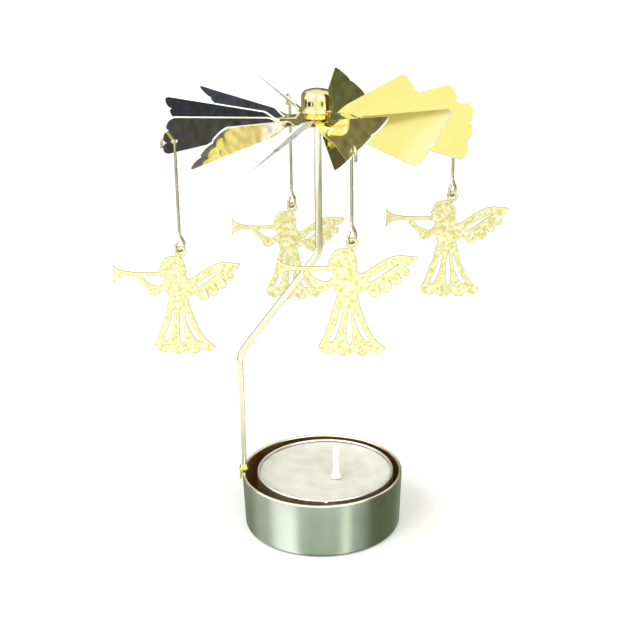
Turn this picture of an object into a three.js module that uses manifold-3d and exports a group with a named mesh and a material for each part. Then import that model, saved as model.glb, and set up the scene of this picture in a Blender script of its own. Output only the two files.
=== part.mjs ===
// Candle carousel: a tealight in a small steel cup, a bent brass stem clipped to the cup's rim, and a
// bladed wheel that turns on the stem's needle and carries four hanging figures.
// Millimetres, +Z up. The origin is the middle of the cup's underside, and +Y points to the back.

import * as THREE from 'three';
import { mergeVertices } from 'three/addons/utils/BufferGeometryUtils.js';
import Module from 'manifold-3d';

const wasm = await Module();
wasm.setup();

// Clearances shared by the whole part
const seatGap = 0.3;
const cutOverrun = 1;

// Base cup
const cupRadius = 22.25;
const cupHeight = 15.8;
const cupWall = 0.5;
const cupFloor = 0.5;
const cupTaper = 0.55;
const cupFootRound = 1.2;
const rimBeadRadius = 0.45;

// Tealight, a little off the cup's middle
const candleRadius = 19;
const candleOffsetX = 0.9;
const candleWall = 0.3;
const candleRimRadius = 0.4;
const candleFootRound = 1.2;
const waxDrop = 1.1;
const waxDish = 0.9;
const wickRadius = 0.9;
const wickStandout = 7.6;
const wickOffsetX = 3;
const wickOffsetY = -1.8;
const wickTipRadius = 0.6;
const sustainerRadius = 7;
const sustainerSheet = 0.3;
const sustainerNeck = 3;
const sustainerNeckWall = 0.3;

// Stem
const stemThickness = 1.2;
const stemLowerWidth = 1.6;
const stemUpperWidth = 1.9;
const stemLowerBendHeight = 50.5;
const stemUpperBendHeight = 78.5;
const stemBendRound = 3;
const clipWidth = 2.6;
const clipLegDepth = 2.4;
const clipLegSheet = 0.5;
const clipTopSheet = 0.7;
const needleRadius = 0.75;
const needlePointLength = 2.2;

// Wheel
const wheelHeight = 113.6;
const wheelRadius = 39.2;
const wheelSheet = 0.4;
const bladeCount = 12;
const firstBladeAngle = THREE.MathUtils.degToRad(15.4);
const bladePitch = THREE.MathUtils.degToRad(42);
const bladeHalfAngle = THREE.MathUtils.degToRad(12.8);
const bladeLift = 2;
const bladeLiftShares = [0, 0.4, 0.95, 0.3, 0, 0.15, -0.8, -0.6, 0.35, 0.65, 0.25, -0.8];
const bladeSwing = THREE.MathUtils.degToRad(3);
const bladeSwingShares = [0, -0.9, -0.9, 0, 0, 0, 0, 0.75, 0, 0, 0, 0];
const discRadius = 9;
const twistLength = 4.5;
const rootOverlap = 0.6;
const edgeScallops = 3;
const edgeNotchDepth = 1;
const edgeCurvePower = 3.5;

// Hub
const hubBoreRadius = 1.3;
const spigotRadius = 1.9;
const collarRadius = 3.4;
const collarHeight = 1.4;
const domeRadius = 4;
const domeHeight = 5.8;
const domeWall = 1;
const domeShoulderRound = 1.9;
const domeCrownRise = 0.3;
const domeBrimRadius = 4.65;
const domeBrimHeight = 0.45;
const rivetLipRadius = 2.8;
const rivetLipHeight = 0.5;

// Hangers and figures
const wireRadius = 0.35;
const hangerHoleRadius = 0.9;
const hangerHoleInset = 3;
const hangerHoleShare = -1 / 3;
const hookRadius = 1.6;
const hookSink = 0.1;
const hookTail = 1.5;
const ringRadius = 1.6;
const ringTurn = THREE.MathUtils.degToRad(55);
const eyeHoleRadius = 0.8;
const eyeRadius = 1.5;
const lowEyeDrop = 31.9;
const highEyeDrop = 22.2;
const hangers = [
  { name: 'left', blade: 6, eyeDrop: lowEyeDrop },
  { name: 'back', blade: 3, eyeDrop: lowEyeDrop },
  { name: 'front', blade: 9, eyeDrop: highEyeDrop },
  { name: 'right', blade: 0, eyeDrop: highEyeDrop },
];
const figureWidth = 33;
const figureHeight = 28;
const figureSheet = 0.4;

// Counts of facets
const cupSegments = 48;
const hubSegments = 24;
const holeSegments = 16;
const roundSegments = 4;
const wireSteps = 56;
const wireHalfSides = 3;

const steelLook = { color: 0xb9c4b2, roughness: 0.35, metalness: 1 };
const goldLook = { color: 0xe8cf6a, roughness: 0.18, metalness: 1 };
const paleGoldLook = { color: 0xefe39a, roughness: 0.4, metalness: 1 };
const foilLook = { color: 0xe4e6e4, roughness: 0.3, metalness: 1 };
const waxLook = { color: 0xe6e2d2, roughness: 0.55, metalness: 0 };
const wickLook = { color: 0xf4f2ea, roughness: 0.9, metalness: 0 };

const carousel = new THREE.Group();

function addPiece(name, geometry, look, parent = carousel) {
  const piece = new THREE.Mesh(geometry, new THREE.MeshStandardMaterial(look));
  piece.name = name;
  parent.add(piece);
  return piece;
}

function toSolid(geometry) {
  const plain = geometry.clone();
  plain.deleteAttribute('normal');
  plain.deleteAttribute('uv');
  const merged = mergeVertices(plain);
  return new wasm.Manifold(
    new wasm.Mesh({
      numProp: 3,
      vertProperties: new Float32Array(merged.attributes.position.array),
      triVerts: new Uint32Array(merged.index.array),
    })
  );
}

function toGeometry(solid) {
  const mesh = solid.getMesh();
  const geometry = new THREE.BufferGeometry();
  geometry.setAttribute('position', new THREE.BufferAttribute(mesh.vertProperties, 3));
  geometry.setIndex(new THREE.BufferAttribute(mesh.triVerts, 1));
  return geometry;
}

function join(...geometries) {
  return toGeometry(geometries.map(toSolid).reduce((whole, next) => whole.add(next)));
}

function cut(geometry, ...tools) {
  return toGeometry(tools.map(toSolid).reduce((whole, tool) => whole.subtract(tool), toSolid(geometry)));
}

// A turned piece stands on the Z axis. Its outline is a list of [radius, height] points
function turned(outline, segments) {
  const points = outline.map(([radius, height]) => new THREE.Vector2(radius, height));
  return new THREE.LatheGeometry(points, segments).rotateX(Math.PI / 2);
}

// Points on an arc of an outline, from one angle to another
function arc(centreX, centreY, radius, from, to, steps = roundSegments) {
  return Array.from({ length: steps + 1 }, (_, i) => {
    const angle = from + ((to - from) * i) / steps;
    return [centreX + radius * Math.cos(angle), centreY + radius * Math.sin(angle)];
  });
}

function rod(radius, bottom, top, segments = holeSegments) {
  const length = top - bottom;
  const cylinder = new THREE.CylinderGeometry(radius, radius, length, segments).rotateX(Math.PI / 2);
  return cylinder.translate(0, 0, bottom + length / 2);
}

function block(low, high) {
  const size = new THREE.Vector3().subVectors(high, low);
  const middle = new THREE.Vector3().addVectors(low, high).divideScalar(2);
  return new THREE.BoxGeometry(size.x, size.y, size.z).translate(middle.x, middle.y, middle.z);
}

// Base cup: one pressed shell, a little narrower at its foot, with a bead rolled inwards at its rim
const beadCentreRadius = cupRadius - rimBeadRadius;
const beadCentreHeight = cupHeight - rimBeadRadius;
const cupInnerRadius = cupRadius - cupWall;
const cupFootCentre = cupRadius - cupTaper - cupFootRound;

function baseCup() {
  return turned(
    [
      [0, 0],
      ...arc(cupFootCentre, cupFootRound, cupFootRound, -Math.PI / 2, 0),
      ...arc(beadCentreRadius, beadCentreHeight, rimBeadRadius, 0, Math.PI, 2 * roundSegments),
      [cupInnerRadius, beadCentreHeight - rimBeadRadius],
      ...arc(cupFootCentre, cupFootRound, cupFootRound - cupWall, 0, -Math.PI / 2),
      [0, cupFloor],
    ],
    cupSegments
  );
}

addPiece('base_cup', baseCup(), steelLook);

// Tealight: a thin aluminium cup, its wax, the wick, and the small foot that holds the wick
const candle = new THREE.Group();
candle.position.set(candleOffsetX, 0, cupFloor + seatGap);
carousel.add(candle);
const candleHeight = cupHeight - cupFloor - seatGap;
const waxRadius = candleRadius - candleWall - seatGap;
const waxBottom = candleWall + seatGap;
const waxTop = candleHeight - waxDrop;
const sustainerTop = waxBottom + sustainerSheet + sustainerNeck;
const neckRadius = wickRadius + seatGap + sustainerNeckWall;

function tealightCup() {
  const footCentre = candleRadius - candleFootRound;
  const beadCentre = candleRadius - candleRimRadius;
  return turned(
    [
      [0, 0],
      ...arc(footCentre, candleFootRound, candleFootRound, -Math.PI / 2, 0),
      ...arc(beadCentre, candleHeight - candleRimRadius, candleRimRadius, 0, Math.PI),
      [candleRadius - candleWall, candleHeight - 2 * candleRimRadius],
      ...arc(footCentre, candleFootRound, candleFootRound - candleWall, 0, -Math.PI / 2),
      [0, candleWall],
    ],
    cupSegments
  );
}

function tealightWax() {
  const edgeRadius = candleRadius - 2 * candleRimRadius - seatGap;
  const body = turned(
    [
      [0, waxBottom],
      [candleRadius - candleFootRound, waxBottom],
      [waxRadius, candleFootRound + seatGap],
      [waxRadius, candleHeight - 2 * candleRimRadius - seatGap],
      [edgeRadius, waxTop],
      [edgeRadius - waxDish, waxTop - waxDish / 2],
      [0, waxTop - waxDish],
    ],
    cupSegments
  );
  const footTop = waxBottom + sustainerSheet + seatGap;
  const footPocket = rod(sustainerRadius + seatGap, -cutOverrun, footTop, hubSegments);
  const neckPocket = rod(neckRadius + seatGap, -cutOverrun, sustainerTop + seatGap);
  const wickHole = rod(wickRadius + seatGap, -cutOverrun, candleHeight + cutOverrun);
  const pockets = [footPocket, neckPocket, wickHole];
  return cut(body, ...pockets.map((pocket) => pocket.translate(wickOffsetX, wickOffsetY, 0)));
}

function wick() {
  const bottom = waxBottom + sustainerSheet + seatGap;
  const top = candleHeight + wickStandout;
  return turned(
    [
      [0, bottom],
      [wickRadius, bottom],
      [wickRadius, top - wickRadius],
      [wickTipRadius, top],
      [0, top],
    ],
    holeSegments
  );
}

function wickSustainer() {
  const sheetTop = waxBottom + sustainerSheet;
  return turned(
    [
      [0, waxBottom],
      [sustainerRadius, waxBottom],
      [sustainerRadius, sheetTop],
      [neckRadius, sheetTop],
      [neckRadius, sustainerTop],
      [neckRadius - sustainerNeckWall, sustainerTop],
      [neckRadius - sustainerNeckWall, sheetTop],
      [0, sheetTop],
    ],
    hubSegments
  );
}

addPiece('tealight_cup', tealightCup(), foilLook, candle);
addPiece('tealight_wax', tealightWax(), waxLook, candle);
addPiece('wick', wick(), wickLook, candle).position.set(wickOffsetX, wickOffsetY, 0);
addPiece('wick_sustainer', wickSustainer(), foilLook, candle).position.set(wickOffsetX, wickOffsetY, 0);

// Hub: the collar lies on the wheel, the dome's spigot passes through both, and a lip holds them below
const wheelTop = wheelHeight + wheelSheet / 2;
const wheelBottom = wheelHeight - wheelSheet / 2;
const collarTop = wheelTop + seatGap + collarHeight;
const domeBottom = collarTop + seatGap;
const domeTop = domeBottom + domeHeight;
const lipTop = wheelBottom - seatGap;
const lipBottom = lipTop - rivetLipHeight;
const hubHoleRadius = spigotRadius + seatGap;
const socketTop = domeTop - domeWall;

function hubDome() {
  const brimTop = domeBottom + domeBrimHeight;
  const shoulderCentre = domeTop - domeCrownRise - domeShoulderRound;
  const shoulderRadius = domeRadius - domeShoulderRound;
  return turned(
    [
      [hubBoreRadius, lipBottom],
      [rivetLipRadius, lipBottom],
      [rivetLipRadius, lipTop],
      [spigotRadius, lipTop],
      [spigotRadius, domeBottom],
      [domeBrimRadius, domeBottom],
      [domeBrimRadius, brimTop],
      [domeRadius, brimTop],
      ...arc(shoulderRadius, shoulderCentre, domeShoulderRound, 0, Math.PI / 2),
      [0, domeTop],
      [0, socketTop],
      [hubBoreRadius, socketTop - hubBoreRadius],
      [hubBoreRadius, lipBottom],
    ],
    hubSegments
  );
}

function hubCollar() {
  const bottom = wheelTop + seatGap;
  return turned(
    [
      [hubHoleRadius, bottom],
      [collarRadius, bottom],
      [collarRadius, collarTop],
      [hubHoleRadius, collarTop],
      [hubHoleRadius, bottom],
    ],
    hubSegments
  );
}

addPiece('hub_dome', hubDome(), goldLook);
addPiece('hub_collar', hubCollar(), goldLook);

// Stem: a strip cut from sheet. It rises from the rim, leans to the middle and ends in the needle
const clipGap = seatGap;
const clipInner = beadCentreRadius - rimBeadRadius - clipGap;
const clipOuter = cupRadius + clipGap;
const clipBottom = cupHeight - clipLegDepth;
const clipRoof = cupHeight + clipGap;
const stemFootX = -(clipInner + clipOuter) / 2;
const stripTop = lipBottom - seatGap;
const needleTop = socketTop - seatGap;

// A polygon whose corners may be rounded. Each corner is [x, y, round]
function roundedShape(corners) {
  const shape = new THREE.Shape();
  corners.forEach(([x, y, round = 0], i) => {
    const here = new THREE.Vector2(x, y);
    const before = corners[(i + corners.length - 1) % corners.length];
    const after = corners[(i + 1) % corners.length];
    const back = new THREE.Vector2(before[0] - x, before[1] - y).setLength(round).add(here);
    const ahead = new THREE.Vector2(after[0] - x, after[1] - y).setLength(round).add(here);
    if (i === 0) shape.moveTo(back.x, back.y);
    else shape.lineTo(back.x, back.y);
    if (round > 0) shape.quadraticCurveTo(x, y, ahead.x, ahead.y);
  });
  shape.closePath();
  return shape;
}

// Flat sheet pieces are drawn in X and Z, and stand upright with their thickness along Y
function sheet(shape, thickness, curveSegments = roundSegments) {
  const options = { depth: thickness, bevelEnabled: false, curveSegments };
  const geometry = new THREE.ExtrudeGeometry(shape, options);
  return geometry.rotateX(Math.PI / 2).translate(0, thickness / 2, 0);
}

function stem() {
  const lean = Math.atan2(-stemFootX, stemUpperBendHeight - stemLowerBendHeight);
  const lowerShift = (stemLowerWidth / 2) * Math.tan(lean / 2);
  const upperShift = (stemUpperWidth / 2) * Math.tan(lean / 2);
  const strip = roundedShape([
    [stemFootX - stemLowerWidth / 2, clipRoof],
    [stemFootX + stemLowerWidth / 2, clipRoof],
    [stemFootX + stemLowerWidth / 2, stemLowerBendHeight - lowerShift, stemBendRound],
    [stemUpperWidth / 2, stemUpperBendHeight - upperShift, stemBendRound],
    [stemUpperWidth / 2, stripTop - stemUpperWidth / 2],
    [needleRadius, stripTop],
    [-needleRadius, stripTop],
    [-stemUpperWidth / 2, stripTop - stemUpperWidth / 2],
    [-stemUpperWidth / 2, stemUpperBendHeight + upperShift, stemBendRound],
    [stemFootX - stemLowerWidth / 2, stemLowerBendHeight + lowerShift, stemBendRound],
  ]);
  const side = clipWidth / 2;
  const roofTop = clipRoof + clipTopSheet;
  const legOutside = -(clipOuter + clipLegSheet);
  const legInside = -(clipInner - clipLegSheet);
  const clip = [
    block(new THREE.Vector3(legOutside, -side, clipRoof), new THREE.Vector3(legInside, side, roofTop)),
    block(new THREE.Vector3(legOutside, -side, clipBottom), new THREE.Vector3(-clipOuter, side, roofTop)),
    block(new THREE.Vector3(-clipInner, -side, clipBottom), new THREE.Vector3(legInside, side, roofTop)),
  ];
  const needle = turned(
    [
      [0, stripTop - needlePointLength],
      [stemThickness / 2, stripTop - needlePointLength],
      [stemThickness / 2, stripTop],
      [needleRadius, stripTop],
      [needleRadius, needleTop - needlePointLength],
      [0, needleTop],
    ],
    holeSegments
  );
  return join(sheet(strip, stemThickness), ...clip, needle);
}

addPiece('stem', stem(), goldLook);

// Wheel: slit from the rim to the middle disc, with each blade twisted about its own centre line.
// The blades of the real wheel are bent by hand, so each one's end stands a little higher or lower than
// the disc, and a few swing sideways
const twistStations = [-rootOverlap, twistLength / 3, (2 * twistLength) / 3, twistLength];
const halfAcrossShares = [0.2, 0.29, 1 / 3, 0.38, 0.47, 0.67, 0.85, 0.94, 1];
const acrossShares = [...halfAcrossShares.map((share) => -share).reverse(), 0, ...halfAcrossShares];

// The outer edge has scallops, with notches between them
function bladeReach(share) {
  const place = ((share + 1) / 2) * edgeScallops;
  const scallop = Math.min(Math.floor(place), edgeScallops - 1);
  const fall = Math.pow(Math.abs(2 * (place - scallop) - 1), edgeCurvePower);
  return wheelRadius * Math.cos(share * bladeHalfAngle) - edgeNotchDepth * fall;
}

// A point of a blade's sheet: along its centre line, across it by a share, and off its middle plane
function bladePoint(number, along, share, off) {
  const bentShare = THREE.MathUtils.smoothstep(along, discRadius, discRadius + twistLength);
  const turn = bladePitch * bentShare;
  const across = share * along * Math.tan(bladeHalfAngle);
  const outwardShare = Math.max(0, along - discRadius) / (wheelRadius - discRadius);
  const flat = new THREE.Vector3(
    along,
    across * Math.cos(turn) - off * Math.sin(turn),
    across * Math.sin(turn) + off * Math.cos(turn) + bladeLift * bladeLiftShares[number] * outwardShare
  );
  return flat.applyAxisAngle(new THREE.Vector3(0, 0, 1), bladeSwing * bladeSwingShares[number] * bentShare);
}

function blade(number) {
  const positions = [];
  const index = [];
  const rows = acrossShares.length;
  const columns = twistStations.length + 1;
  for (const off of [wheelSheet / 2, -wheelSheet / 2]) {
    for (const share of acrossShares) {
      const stations = twistStations.map((station) => discRadius + station);
      for (const along of [...stations, bladeReach(share)]) {
        positions.push(...bladePoint(number, along, share, off).toArray());
      }
    }
  }
  const top = (row, column) => row * columns + column;
  const bottom = (row, column) => rows * columns + top(row, column);
  const quad = (a, b, c, d) => index.push(a, b, c, a, c, d);
  for (let row = 0; row + 1 < rows; row++) {
    for (let column = 0; column + 1 < columns; column++) {
      quad(top(row, column), top(row, column + 1), top(row + 1, column + 1), top(row + 1, column));
      const next = bottom(row + 1, column + 1);
      quad(bottom(row, column), bottom(row + 1, column), next, bottom(row, column + 1));
    }
    const end = columns - 1;
    quad(top(row, end), bottom(row, end), bottom(row + 1, end), top(row + 1, end));
    quad(top(row + 1, 0), bottom(row + 1, 0), bottom(row, 0), top(row, 0));
  }
  for (let column = 0; column + 1 < columns; column++) {
    const last = rows - 1;
    quad(top(0, column), bottom(0, column), bottom(0, column + 1), top(0, column + 1));
    quad(top(last, column + 1), bottom(last, column + 1), bottom(last, column), top(last, column));
  }
  const geometry = new THREE.BufferGeometry();
  geometry.setAttribute('position', new THREE.Float32BufferAttribute(positions, 3));
  geometry.setIndex(index);
  return geometry;
}

function bladeAngle(number) {
  return firstBladeAngle + (2 * Math.PI * number) / bladeCount;
}

// Where a hanger passes through its blade, behind the lower notch
function holePlace(number) {
  return bladePoint(number, wheelRadius - hangerHoleInset, hangerHoleShare, 0);
}

function wheel() {
  const overrun = cutOverrun * 2;
  const disc = rod(discRadius, -wheelSheet / 2, wheelSheet / 2, cupSegments);
  const blades = bladeLiftShares.map((_, number) => blade(number).rotateZ(bladeAngle(number)));
  const middleHole = rod(hubHoleRadius, -overrun, overrun, hubSegments);
  const hangerHoles = hangers.map(({ blade: number }) => {
    const hole = rod(hangerHoleRadius, -overrun, overrun).rotateX(bladePitch);
    return hole.translate(...holePlace(number).toArray()).rotateZ(bladeAngle(number));
  });
  return cut(join(disc, ...blades), middleHole, ...hangerHoles);
}

addPiece('fan_wheel', wheel(), goldLook).position.z = wheelHeight;

// Hangers: a hook over the blade's edge, a straight run, and an open ring turned to the figure's face
function hanger(angle, drop) {
  const outward = new THREE.Vector3(Math.cos(angle), Math.sin(angle), 0);
  const ringward = new THREE.Vector3(Math.cos(ringTurn), Math.sin(ringTurn), 0);
  const hookPoint = (out, up) => outward.clone().multiplyScalar(out).setZ(up - hookSink);
  const ringCentre = ringRadius - drop + (eyeHoleRadius - wireRadius - seatGap);
  const ringPoint = (degrees) => {
    const turn = THREE.MathUtils.degToRad(degrees);
    const height = ringCentre + ringRadius * Math.sin(turn);
    return ringward.clone().multiplyScalar(ringRadius * Math.cos(turn)).setZ(height);
  };
  const archPoints = [0, 45, 90, 135, 180].map((degrees) => {
    const turn = THREE.MathUtils.degToRad(degrees);
    return hookPoint(hookRadius * (1 + Math.cos(turn)), hookRadius * Math.sin(turn));
  });
  const ringPoints = [50, 20, -10, -40, -70, -100, -130, -160, -190, -220, -240].map(ringPoint);
  const route = new THREE.CatmullRomCurve3(
    [
      hookPoint(2 * hookRadius, -hookTail),
      hookPoint(2 * hookRadius, -hookTail / 2),
      ...archPoints,
      hookPoint(0, -hookRadius),
      new THREE.Vector3(0, 0, ringCentre + 3 * ringRadius),
      new THREE.Vector3(0, 0, ringCentre + 2 * ringRadius),
      ...ringPoints,
    ],
    false,
    'centripetal'
  );
  const section = new THREE.Shape().absarc(0, 0, wireRadius, 0, 2 * Math.PI);
  return new THREE.ExtrudeGeometry(section, {
    steps: wireSteps,
    curveSegments: wireHalfSides,
    extrudePath: route,
  });
}

// Figure: an angel blowing a long trumpet, cut from sheet. The points are shares of its width and height,
// measured from the eye that it hangs by, and each stretch between two corners is one smooth curve
const angelOutlineShares = [
  [[0.03, -0.04], [0.058, -0.09], [0.076, -0.155], [0.073, -0.215], [0.088, -0.262]],
  [[0.088, -0.262], [0.13, -0.25], [0.235, -0.165], [0.35, -0.108], [0.5, -0.122]],
  [[0.5, -0.122], [0.473, -0.175], [0.412, -0.204]],
  [[0.412, -0.204], [0.447, -0.234], [0.436, -0.28], [0.398, -0.285], [0.36, -0.265]],
  [[0.36, -0.265], [0.391, -0.308], [0.373, -0.357], [0.333, -0.354], [0.3, -0.322]],
  [[0.3, -0.322], [0.324, -0.379], [0.3, -0.429], [0.26, -0.418], [0.23, -0.375]],
  [[0.23, -0.375], [0.245, -0.436], [0.215, -0.475], [0.172, -0.454], [0.139, -0.4]],
  [[0.139, -0.4], [0.079, -0.443]],
  [[0.079, -0.443], [0.1, -0.554], [0.139, -0.696], [0.2, -0.84], [0.279, -0.929]],
  [[0.279, -0.929], [0.242, -0.979], [0.17, -0.95]],
  [[0.17, -0.95], [0.133, -0.996], [0.067, -0.986], [0.048, -0.957]],
  [[0.048, -0.957], [0, -1], [-0.067, -0.982], [-0.085, -0.95]],
  [[-0.085, -0.95], [-0.127, -0.979], [-0.188, -0.95], [-0.206, -0.907]],
  [[-0.206, -0.907], [-0.164, -0.804], [-0.121, -0.661], [-0.091, -0.536], [-0.07, -0.45]],
  [[-0.07, -0.45], [-0.088, -0.386], [-0.106, -0.364]],
  [[-0.106, -0.364], [-0.158, -0.414], [-0.212, -0.407], [-0.236, -0.343], [-0.285, -0.286]],
  [[-0.285, -0.286], [-0.305, -0.254], [-0.297, -0.232]],
  [[-0.297, -0.232], [-0.394, -0.225], [-0.461, -0.25], [-0.5, -0.296]],
  [[-0.5, -0.296], [-0.485, -0.207], [-0.491, -0.114]],
  [[-0.491, -0.114], [-0.442, -0.161], [-0.348, -0.186], [-0.227, -0.193], [-0.13, -0.189]],
  [[-0.13, -0.189], [-0.118, -0.175], [-0.132, -0.155]],
  [[-0.132, -0.155], [-0.114, -0.128], [-0.109, -0.104], [-0.079, -0.057], [-0.03, -0.04]],
];
const angelCutoutShares = [
  [[-0.135, -0.229], [-0.26, -0.234], [-0.225, -0.289], [-0.152, -0.325], [-0.106, -0.3],
    [-0.098, -0.255]],
  [[-0.045, -0.56], [-0.075, -0.7], [-0.125, -0.85], [-0.098, -0.86], [-0.055, -0.74], [-0.033, -0.6]],
  [[0.018, -0.54], [0.035, -0.7], [0.036, -0.87], [0.006, -0.87], [0.002, -0.7]],
  [[0.062, -0.58], [0.1, -0.72], [0.16, -0.855], [0.13, -0.862], [0.078, -0.74], [0.052, -0.63]],
  [[0.15, -0.31], [0.26, -0.232], [0.37, -0.18], [0.3, -0.235], [0.17, -0.34]],
];

// The eye stands over the figure's centre of mass, so that the figure hangs level
const eyeShare = 0.04;

function figureCurve(curve, stretch) {
  const points = stretch.map(
    ([xShare, zShare]) => new THREE.Vector2((xShare - eyeShare) * figureWidth, zShare * figureHeight)
  );
  curve.splineThru(points);
}

function figureStart([xShare, zShare]) {
  return new THREE.Shape().moveTo((xShare - eyeShare) * figureWidth, zShare * figureHeight);
}

// Figures are drawn from the eye downwards, as seen from the front
function figure() {
  const outline = figureStart(angelOutlineShares[0][0]);
  angelOutlineShares.forEach((stretch) => figureCurve(outline, stretch.slice(1)));
  const windows = angelCutoutShares.map((stretch) => {
    const window = figureStart(stretch[0]);
    figureCurve(window, [...stretch.slice(1), stretch[0]]);
    return sheet(window, figureSheet + 2 * cutOverrun, 1);
  });
  const eyeReach = figureSheet / 2 + cutOverrun;
  const eye = rod(eyeRadius, -figureSheet / 2, figureSheet / 2, hubSegments).rotateX(Math.PI / 2);
  const eyeHole = rod(eyeHoleRadius, -eyeReach, eyeReach).rotateX(Math.PI / 2);
  return cut(join(sheet(outline, figureSheet, 2), eye), eyeHole, ...windows);
}

for (const { name, blade: number, eyeDrop } of hangers) {
  const angle = bladeAngle(number);
  const place = holePlace(number).applyAxisAngle(new THREE.Vector3(0, 0, 1), angle);
  const drop = eyeDrop + place.z;
  const hung = new THREE.Group();
  hung.position.set(place.x, place.y, wheelHeight + place.z);
  carousel.add(hung);
  addPiece(`hanger_${name}`, hanger(angle, drop), paleGoldLook, hung);
  addPiece(`pendant_${name}`, figure(), paleGoldLook, hung).position.z = -drop;
}

export default carousel;
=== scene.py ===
# Candle carousel: a tealight in a small steel cup, a bent brass stem on the cup's rim, and a bladed brass
# wheel that turns on the stem's needle in the warm air and carries four hanging sheet figures.
# Metres, +Z up, the camera in front at -Y. Sections follow the object as it is put together.

import math

import bmesh
import bpy
from mathutils import Matrix, Vector, noise


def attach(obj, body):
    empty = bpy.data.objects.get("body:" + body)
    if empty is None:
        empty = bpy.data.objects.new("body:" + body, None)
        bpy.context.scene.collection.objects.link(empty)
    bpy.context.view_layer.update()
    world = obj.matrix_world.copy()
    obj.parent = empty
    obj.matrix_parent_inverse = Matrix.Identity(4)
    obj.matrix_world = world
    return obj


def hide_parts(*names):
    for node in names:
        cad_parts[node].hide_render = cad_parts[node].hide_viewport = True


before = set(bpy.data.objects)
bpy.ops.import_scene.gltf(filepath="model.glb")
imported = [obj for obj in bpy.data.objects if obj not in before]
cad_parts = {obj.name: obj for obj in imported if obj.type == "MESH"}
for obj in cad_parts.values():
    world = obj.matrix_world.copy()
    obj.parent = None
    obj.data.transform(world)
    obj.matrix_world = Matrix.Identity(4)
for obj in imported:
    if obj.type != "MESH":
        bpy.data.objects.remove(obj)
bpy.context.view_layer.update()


# Base cup. A shallow cup pressed from thin steel sheet, brushed round its wall, with a pale gold bead
# rolled inwards at the rim and a dark bronze lacquer inside. It narrows a little towards its underside.

cup_radius, cup_height = 0.02225, 0.0158
cup_sheet, cup_taper, cup_foot_round, bead_radius, bead_curl = 0.0005, 0.00055, 0.0012, 0.00045, 250
seat_inset, bead_neck, gold_drop, bronze_drop = 0.0022, 0.0008, 0.0002, 0.0012
wall_tapers = ((0.006, 0.66), (0.0105, 0.34))
merge_reach, downward = 2e-7, -0.5


def arc(centre_radius, centre_height, radius, start, end, steps=8):
    """Outline points (radius, height) on an arc between two angles in degrees."""
    turns = [math.radians(start + (end - start) * i / steps) for i in range(steps + 1)]
    return [(centre_radius + radius * math.cos(t), centre_height + radius * math.sin(t)) for t in turns]


def spin_outline(shape, outline, middle=(0.0, 0.0), steps=144):
    """Turns an outline of (radius, height) points a full circle about an upright axis."""
    points = [shape.verts.new((middle[0] + radius, middle[1], height)) for radius, height in outline]
    runs = zip(points, points[1:])
    off_axis = [ends for ends in runs if any(abs(end.co.x - middle[0]) > merge_reach for end in ends)]
    edges = [shape.edges.new(ends) for ends in off_axis]
    bmesh.ops.spin(
        shape,
        geom=points + edges,
        cent=(middle[0], middle[1], 0),
        axis=(0, 0, 1),
        angle=2 * math.pi,
        steps=steps,
        use_merge=True,
    )
    bmesh.ops.remove_doubles(shape, verts=shape.verts, dist=merge_reach)
    bmesh.ops.recalc_face_normals(shape, faces=shape.faces)


def make_piece(name, shape, materials, sharp=35):
    """Makes an object of a bmesh. Edges sharper than so many degrees stay crisp."""
    mesh = bpy.data.meshes.new(name)
    shape.to_mesh(mesh)
    shape.free()
    for material in materials:
        mesh.materials.append(material)
    mesh.polygons.foreach_set("use_smooth", [True] * len(mesh.polygons))
    mesh.set_sharp_from_angle(angle=math.radians(sharp))
    piece = bpy.data.objects.new(name, mesh)
    bpy.context.scene.collection.objects.link(piece)
    return piece


def noise_node(nodes, cells, detail):
    """Noise with so many cells per metre."""
    made = nodes.new("ShaderNodeTexNoise")
    made.inputs["Scale"].default_value = cells
    made.inputs["Detail"].default_value = detail
    return made


def tint_node(nodes, colours, stops):
    """A ramp between two colours, each at its own place from 0 to 1."""
    made = nodes.new("ShaderNodeValToRGB")
    for stop, place, colour in zip(made.color_ramp.elements, stops, colours):
        stop.position = place
        stop.color = (*colour, 1)
    return made


def metal(name, colours, roughness, grain, relief, clouds=110.0, stops=(0.3, 0.7), metallic=1.0):
    """A metal with a fine grain, so many cells per metre along X, Y and Z, and soft clouds in its polish."""
    made = bpy.data.materials.new(name)
    made.use_nodes = True
    nodes, links = made.node_tree.nodes, made.node_tree.links
    shader = nodes["Principled BSDF"]
    shader.inputs["Metallic"].default_value = metallic
    place = nodes.new("ShaderNodeTexCoord")
    spread = nodes.new("ShaderNodeMapping")
    spread.inputs["Scale"].default_value = grain
    fine = noise_node(nodes, 1.0, 3.0)
    broad = noise_node(nodes, clouds, 4.0)
    blend = nodes.new("ShaderNodeMix")
    blend.inputs["Factor"].default_value = 0.45
    tint = tint_node(nodes, colours, stops)
    polish = nodes.new("ShaderNodeMapRange")
    polish.inputs["From Min"].default_value = 0.3
    polish.inputs["From Max"].default_value = 0.7
    polish.inputs["To Min"].default_value, polish.inputs["To Max"].default_value = roughness
    bump = nodes.new("ShaderNodeBump")
    bump.inputs["Strength"].default_value = 1.0
    bump.inputs["Distance"].default_value = relief
    links.new(place.outputs["Object"], spread.inputs["Vector"])
    links.new(spread.outputs["Vector"], fine.inputs["Vector"])
    links.new(place.outputs["Object"], broad.inputs["Vector"])
    links.new(broad.outputs["Fac"], blend.inputs["A"])
    links.new(fine.outputs["Fac"], blend.inputs["B"])
    links.new(blend.outputs["Result"], tint.inputs["Fac"])
    links.new(tint.outputs["Color"], shader.inputs["Base Color"])
    links.new(blend.outputs["Result"], polish.inputs["Value"])
    links.new(polish.outputs["Result"], shader.inputs["Roughness"])
    links.new(fine.outputs["Fac"], bump.inputs["Height"])
    links.new(bump.outputs["Normal"], shader.inputs["Normal"])
    return made


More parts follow.
